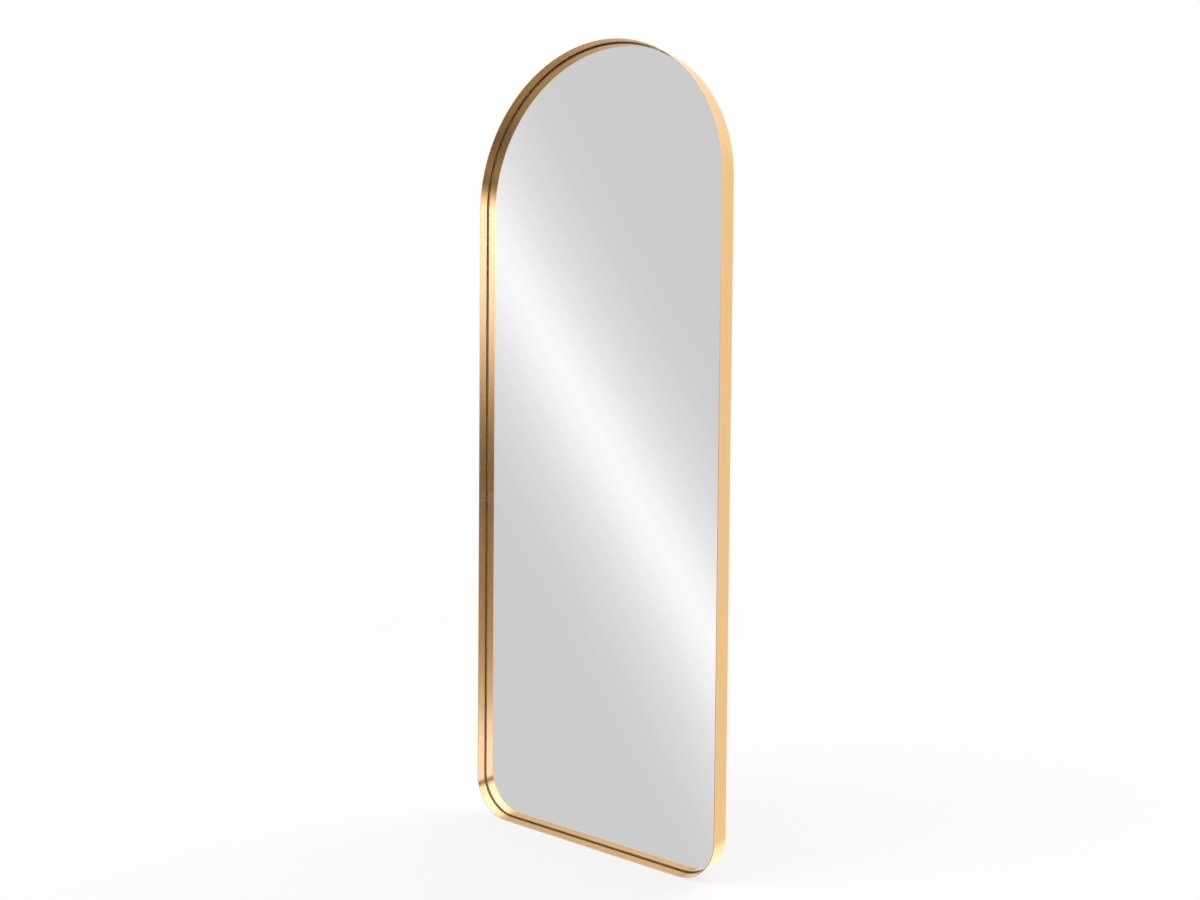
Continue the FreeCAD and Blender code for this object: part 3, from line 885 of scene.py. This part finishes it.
BACK_SIDE = [(-90.0, 1.6), (-34.0, 1.6), (-20.0, 1.02), (18.0, 1.02), (32.0, 1.12), (90.0, 1.2)]
# (degrees of azimuth, share) where one side of the room takes over from another
TO_RIGHT_SIDE = [(-180.0, 0.0), (-14.0, 0.0), (2.0, 1.0), (180.0, 1.0)]
TO_BACK_SIDE = [(0.0, 0.0), (70.0, 0.0), (100.0, 1.0), (180.0, 1.0)]
# (metres from the middle, brightness, tint) of the card and of the floor's own glow
CARD_REACH, CARD_LIFT = 3.0, 1 * MM
CARD_LIGHT = [(0.0, 1.72, COOL), (0.35, 1.68, COOL), (0.8, 1.45), (1.4, 1.45, WARM),
              (3.0, 1.45, WARM)]
CARD_FALL = [(0.0, 1.0), (0.23, 1.0), (0.31, 0.95), (0.434, 0.86), (0.59, 0.68), (0.77, 0.53),
             (0.98, 0.42), (1.22, 0.3), (1.51, 0.2), (1.84, 0.15), (2.24, 0.11), (2.6, 0.05),
             (3.0, 0.0)]
AMBIENT = 0.72
FLOOR_COLOUR = (0.93, 0.93, 0.93, 1.0)
FLOOR_REACH, FLOOR_FADE_END = 30.0, 6.0
FLOOR_GLOW = [(0.0, 0.72), (1.0, 0.72), (4.5, 1.0), (6.0, 1.0)]
# (place, size in metres, watts), aimed at the middle of the mirror
LAMPS = {"key_lamp": ((-1.8, -2.6, 3.4), 2.4, 60.0),
         "rear_lamp": ((1.5, 2.8, 3.2), 2.6, 50.0)}
LAMP_AIM = Vector((0.0, 0.0, 0.8))


def make_camera():
    """The photograph's camera, as it was fitted to the outline."""
    yaw, pitch, roll = (math.radians(a) for a in (CAMERA_YAW, CAMERA_PITCH, CAMERA_ROLL))
    forward = Vector((math.sin(yaw) * math.cos(pitch), math.cos(yaw) * math.cos(pitch),
                      math.sin(pitch)))
    level = Vector((math.cos(yaw), -math.sin(yaw), 0.0))
    upright = level.cross(forward)
    right = math.cos(roll) * level + math.sin(roll) * upright
    up = math.cos(roll) * upright - math.sin(roll) * level
    data = bpy.data.cameras.new("camera")
    data.sensor_width = SENSOR
    data.lens = FOCAL_PIXELS / IMAGE_WIDTH * SENSOR
    camera = bpy.data.objects.new("camera", data)
    bpy.context.scene.collection.objects.link(camera)
    camera.matrix_world = Matrix.Translation(CAMERA_PLACE) @ Matrix(
        (right, up, -forward)).transposed().to_4x4()
    bpy.context.scene.camera = camera


def stage_tree(name):
    """An empty material for a piece of the studio, and its tree."""
    material = bpy.data.materials.new(name)
    material.use_nodes = True
    material.node_tree.nodes.clear()
    return material, material.node_tree


def ramp(tree, value, low, high, stops):
    """Smooth steps between (number, brightness, tint) stops, over low to high."""
    spread = tree.nodes.new("ShaderNodeMapRange")
    spread.inputs["From Min"].default_value = low
    spread.inputs["From Max"].default_value = high
    tree.links.new(value, spread.inputs["Value"])
    node = tree.nodes.new("ShaderNodeValToRGB")
    node.color_ramp.interpolation = "EASE"
    elements = node.color_ramp.elements
    while len(elements) > 1:
        elements.remove(elements[-1])
    brightest = max(stop[1] for stop in stops) * max(COOL)
    for n, (number, level, *tint) in enumerate(stops):
        place = (number - low) / (high - low)
        element = elements[0] if n == 0 else elements.new(place)
        element.position = place
        tint = tint[0] if tint else PLAIN
        element.color = (*(level * part / brightest for part in tint), 1.0)
    tree.links.new(spread.outputs["Result"], node.inputs["Fac"])
    scaled = tree.nodes.new("ShaderNodeVectorMath")
    scaled.operation = "SCALE"
    scaled.inputs["Scale"].default_value = brightest
    tree.links.new(node.outputs["Color"], scaled.inputs[0])
    return scaled.outputs["Vector"]


def lights_between(tree, share, first, second):
    """The first light where the share is 0, the second where it is 1."""
    node = tree.nodes.new("ShaderNodeMix")
    node.data_type = "VECTOR"
    tree.links.new(share, node.inputs["Factor"])
    tree.links.new(first, node.inputs["A"])
    tree.links.new(second, node.inputs["B"])
    return node.outputs["Result"]


def distance_from_middle(tree):
    """How far a point of the floor is from the mirror's foot."""
    length = tree.nodes.new("ShaderNodeVectorMath")
    length.operation = "LENGTH"
    tree.links.new(tree.nodes.new("ShaderNodeTexCoord").outputs["Object"], length.inputs[0])
    return length.outputs["Value"]


def mixed(tree, share, first, second):
    """Mixes two shaders and shows the result."""
    mix = tree.nodes.new("ShaderNodeMixShader")
    tree.links.new(share, mix.inputs["Fac"])
    tree.links.new(first, mix.inputs[1])
    tree.links.new(second, mix.inputs[2])
    output = tree.nodes.new("ShaderNodeOutputMaterial")
    tree.links.new(mix.outputs["Shader"], output.inputs["Surface"])


def disc(name, segments, radius, lift=0.0):
    """A flat round sheet that lies on the floor."""
    mesh = bpy.data.meshes.new(name)
    shape = bmesh.new()
    bmesh.ops.create_circle(shape, cap_ends=True, segments=segments, radius=radius,
                            matrix=Matrix.Translation((0.0, 0.0, lift)))
    shape.to_mesh(mesh)
    shape.free()
    return new_piece(name, mesh)


def only_reflected(thing):
    """Hides a piece of the studio from all but the metal and the mirror."""
    for ray in ("camera", "diffuse", "volume_scatter", "shadow"):
        setattr(thing, "visible_" + ray, False)


def make_studio_dome():
    """What the pane and the metal see: a grey room with soft slanted lights."""
    mesh = bpy.data.meshes.new("studio_dome")
    shape = bmesh.new()
    bmesh.ops.create_uvsphere(shape, u_segments=64, v_segments=32, radius=DOME_RADIUS)
    shape.to_mesh(mesh)
    shape.free()
    only_reflected(new_piece("studio_dome", mesh))
    material, tree = stage_tree("studio_dome")
    place = tree.nodes.new("ShaderNodeTexCoord").outputs["Object"]
    split = tree.nodes.new("ShaderNodeSeparateXYZ")
    tree.links.new(place, split.inputs["Vector"])
    x, y, z = split.outputs
    degrees = math.degrees(1.0)
    azimuth = maths(tree, "MULTIPLY", maths(tree, "ARCTAN2", x, maths(tree, "MULTIPLY", y, -1.0)),
                    degrees)
    up = maths(tree, "DIVIDE", z, DOME_RADIUS)
    elevation = maths(tree, "MULTIPLY", maths(tree, "ARCSINE", up), degrees)
    # slanted bands of soft light, one every BAND_REPEAT degrees
    line = maths(tree, "DIVIDE", maths(tree, "SUBTRACT", elevation, BAND_ELEVATION), BAND_SLOPE)
    off = maths(tree, "SUBTRACT", maths(tree, "SUBTRACT", azimuth, BAND_AZIMUTH), line)
    off = maths(tree, "WRAP", off, BAND_REPEAT / 2, -BAND_REPEAT / 2)
    band = ramp(tree, maths(tree, "ABSOLUTE", off), 0.0, BAND_REACH, BAND_FALL)
    near_level = ramp(tree, maths(tree, "ABSOLUTE", elevation), 0.0, 90.0, BAND_SPAN)
    left, right, back = (ramp(tree, elevation, -90.0, 90.0, side)
                         for side in (LEFT_SIDE, RIGHT_SIDE, BACK_SIDE))
    slanted = maths(tree, "MULTIPLY", band, near_level)
    left_lit = tree.nodes.new("ShaderNodeVectorMath")
    tree.links.new(left, left_lit.inputs[0])
    tree.links.new(slanted, left_lit.inputs[1])
    to_right = ramp(tree, azimuth, -180.0, 180.0, TO_RIGHT_SIDE)
    to_back = ramp(tree, maths(tree, "ABSOLUTE", azimuth), 0.0, 180.0, TO_BACK_SIDE)
    front = lights_between(tree, to_right, left_lit.outputs["Vector"], right)
    room = lights_between(tree, to_back, front, back)
    # the pane by itself sees an even grey with the slanted lights, from every side
    path = tree.nodes.new("ShaderNodeLightPath")
    through_glass = maths(tree, "GREATER_THAN", path.outputs["Transmission Depth"], 0.5)
    only_pane = maths(tree, "LESS_THAN", path.outputs["Glossy Depth"], 1.5)
    in_pane = maths(tree, "MULTIPLY", through_glass, only_pane)
    pane_light = maths(tree, "ADD", slanted, STUDIO_GREY)
    emission = tree.nodes.new("ShaderNodeEmission")
    tree.links.new(lights_between(tree, in_pane, room, pane_light), emission.inputs["Color"])
    output = tree.nodes.new("ShaderNodeOutputMaterial")
    tree.links.new(emission.outputs["Emission"], output.inputs["Surface"])
    mesh.materials.append(material)


def make_floor_card():
    """A bright card at the mirror's foot, which only the inside of the band sees."""
    card = disc("floor_card", segments=64, radius=CARD_REACH, lift=CARD_LIFT)
    only_reflected(card)
    material, tree = stage_tree("floor_card")
    away = distance_from_middle(tree)
    fade = ramp(tree, away, 0.0, CARD_REACH, CARD_FALL)
    bounces = tree.nodes.new("ShaderNodeLightPath").outputs["Glossy Depth"]
    inside = maths(tree, "COMPARE", bounces, 2.0, 0.5)
    emission = tree.nodes.new("ShaderNodeEmission")
    tree.links.new(ramp(tree, away, 0.0, CARD_REACH, CARD_LIGHT), emission.inputs["Color"])
    clear = tree.nodes.new("ShaderNodeBsdfTransparent")
    mixed(tree, maths(tree, "MULTIPLY", fade, inside), clear.outputs["BSDF"],
          emission.outputs["Emission"])
    card.data.materials.append(material)


def make_world():
    """White to the camera, the metal and the glass, and softer as a light."""
    world = bpy.data.worlds.new("world")
    bpy.context.scene.world = world
    world.use_nodes = True
    tree = world.node_tree
    path = tree.nodes.new("ShaderNodeLightPath")
    seen = maths(tree, "MAXIMUM", path.outputs["Is Camera Ray"], maths(
        tree, "MAXIMUM", path.outputs["Is Glossy Ray"], path.outputs["Is Transmission Ray"]))
    background = tree.nodes["Background"]
    background.inputs["Color"].default_value = (1.0, 1.0, 1.0, 1.0)
    strength = maths(tree, "ADD", maths(tree, "MULTIPLY", seen, 1.0 - AMBIENT), AMBIENT)
    tree.links.new(strength, background.inputs["Strength"])


def make_floor():
    """A pale floor that keeps the shadow and fades into the white background."""
    floor = disc("floor", segments=96, radius=FLOOR_REACH)
    floor.visible_glossy = floor.visible_transmission = False
    material, tree = stage_tree("pale_floor")
    diffuse = tree.nodes.new("ShaderNodeBsdfDiffuse")
    diffuse.inputs["Color"].default_value = FLOOR_COLOUR
    glow = tree.nodes.new("ShaderNodeEmission")
    fade = ramp(tree, distance_from_middle(tree), 0.0, FLOOR_FADE_END, FLOOR_GLOW)
    camera_ray = tree.nodes.new("ShaderNodeLightPath").outputs["Is Camera Ray"]
    mixed(tree, maths(tree, "MULTIPLY", fade, camera_ray), diffuse.outputs["BSDF"],
          glow.outputs["Emission"])
    floor.data.materials.append(material)


def make_lamp(name, place, size, watts):
    data = bpy.data.lights.new(name, "AREA")
    data.shape = "DISK"
    data.size = size
    data.energy = watts
    lamp = bpy.data.objects.new(name, data)
    bpy.context.scene.collection.objects.link(lamp)
    aim = (LAMP_AIM - Vector(place)).to_track_quat("-Z", "Y")
    lamp.matrix_world = Matrix.Translation(place) @ aim.to_matrix().to_4x4()
    lamp.visible_glossy = lamp.visible_transmission = lamp.visible_camera = False


# ---- Make it all ---------------------------------------------------------------
bpy.context.scene.view_settings.view_transform = "Standard"
make_camera()
make_world()
make_studio_dome()
make_floor_card()
make_floor()
for name, (place, size, watts) in LAMPS.items():
    make_lamp(name, place, size, watts)

zinc = plated_steel("zinc_plate", (0.47, 0.485, 0.5), 0.36)
black_rubber = soft_plastic("black_rubber", (0.03, 0.03, 0.03), 0.6, 700.0)
make_band(brushed_gold(rim_samples(0.0)[-1][4]))
make_pane(clear_glass(), ground_glass_edge())
make_silvering(silver_coat())
paint("backing_board", fibreboard())
screw_steel = plated_steel("screw_plate", (0.43, 0.42, 0.4), 0.28)
ring_steel = plated_steel("ring_plate", (0.58, 0.575, 0.56), 0.2)
make_tabs(make_screws("tab_screws", "screw_steel", screw_steel), zinc)
make_screws("strap_screws", "screw_steel", screw_steel)
make_bumpers(black_rubber)
for side in ("left", "right"):
    make_strap(side, zinc)
    make_tether_ring(side, ring_steel)
paint("edge_spacers", black_rubber)
paint("floor_pads", soft_plastic("clear_rubber", (0.7, 0.71, 0.7), 0.35, 300.0))
paint("mounting_tape", soft_plastic("foam_tape", (0.05, 0.05, 0.05), 0.8, 900.0))
paint("safety_film", soft_plastic("vinyl_film", (0.75, 0.78, 0.8), 0.4, 200.0))
